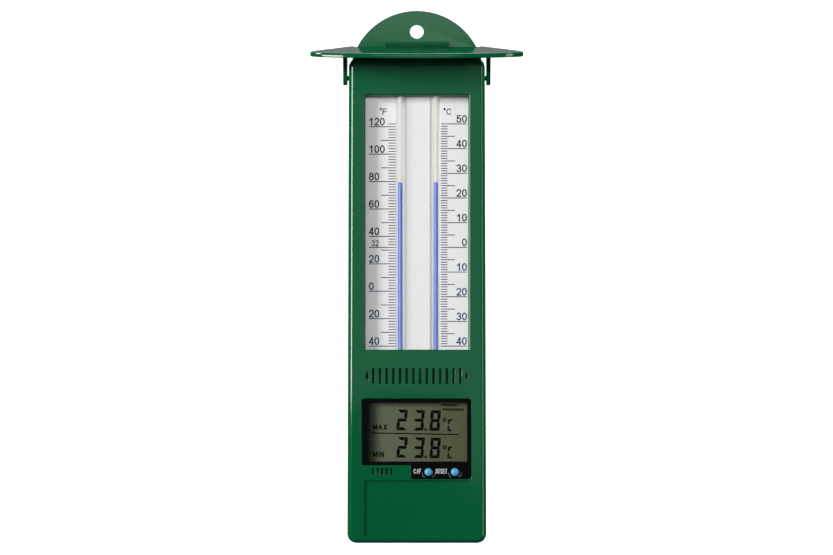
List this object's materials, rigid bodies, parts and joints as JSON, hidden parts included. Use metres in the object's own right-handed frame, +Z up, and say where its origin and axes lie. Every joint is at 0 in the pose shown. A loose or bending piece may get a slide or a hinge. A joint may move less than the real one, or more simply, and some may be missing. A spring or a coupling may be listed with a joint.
{
  "type": "maximum minimum thermometer",
  "caption": "Wall-hung greenhouse thermometer: flat case with a scale window and liquid tubes, a digital max-min display with push buttons, and a tilting rain hood.",
  "frame": {"origin": "centre of the hanging hole, on the wall plane (the rear face of the back cover)", "axes": "+X to the right seen from the front, +Y into the wall (the front faces -Y), +Z up"},
  "size_m": [0.0946, 0.0371, 0.24],
  "materials": {
    "green_plastic": "fine satin moulded polystyrene, dark green",
    "white_plastic": "smooth white, printed scale",
    "tube_glass": "clear drawn glass",
    "blue_liquid": "blue dyed liquid",
    "black_plastic": "black, semi-gloss",
    "clear_plastic": "clear, polished pane",
    "lcd_glass": "grey-green reflective liquid crystal",
    "connector_rubber": "striped conductive elastomer",
    "circuit_laminate": "green solder mask on glass laminate",
    "plated_steel": "zinc plated",
    "button_blue": "light blue, satin",
    "battery_jacket": "plain dark jacket",
    "red_insulation": "red insulated wire",
    "black_insulation": "black insulated wire"
  },
  "bodies": {
    "case": {"front_housing": "green_plastic", "back_cover": "green_plastic", "cover_screw_1": "plated_steel", "cover_screw_2": "plated_steel", "cover_screw_3": "plated_steel", "cover_screw_4": "plated_steel", "scale_plate": "white_plastic", "glass_tube_fahrenheit": "tube_glass", "glass_tube_celsius": "tube_glass", "liquid_fahrenheit": "blue_liquid", "liquid_celsius": "blue_liquid", "lcd_bezel": "black_plastic", "display_window": "clear_plastic", "lcd_panel": "lcd_glass", "zebra_strip": "connector_rubber", "circuit_board": "circuit_laminate", "board_screw_1": "plated_steel", "board_screw_2": "plated_steel", "board_screw_3": "plated_steel", "board_screw_4": "plated_steel", "controller_chip": "black_plastic", "crystal": "plated_steel", "thermistor": "black_plastic", "switch_base_cf": "black_plastic", "switch_base_reset": "black_plastic", "battery": "battery_jacket", "battery_spring": "plated_steel", "battery_contact_plate": "plated_steel", "wire_positive": "red_insulation", "wire_negative": "black_insulation"},
    "hood": {"rain_hood": "green_plastic"},
    "unit_button": {"button_cf": "button_blue", "switch_plunger_cf": "white_plastic"},
    "reset_button": {"button_reset": "button_blue", "switch_plunger_reset": "white_plastic"},
    "door": {"battery_door": "green_plastic"}
  },
  "joints": [
    {"name": "hood_tilt", "type": "hinge", "parent": "case", "child": "hood", "pos_m": [0, -0.011, -0.022], "axis": [1, 0, 0], "range_deg": [0, 8]},
    {"name": "unit_button_press", "type": "slide", "parent": "case", "child": "unit_button", "axis": [0, 1, 0], "range_m": [0, 0.0005], "stiffness_N_per_m": 300, "springref_m": -0.0005},
    {"name": "reset_button_press", "type": "slide", "parent": "case", "child": "reset_button", "axis": [0, 1, 0], "range_m": [0, 0.0005], "stiffness_N_per_m": 300, "springref_m": -0.0005},
    {"name": "battery_door_slide", "type": "slide", "parent": "case", "child": "door", "axis": [0, 0, -1], "range_m": [0, 0.026]}
  ]
}
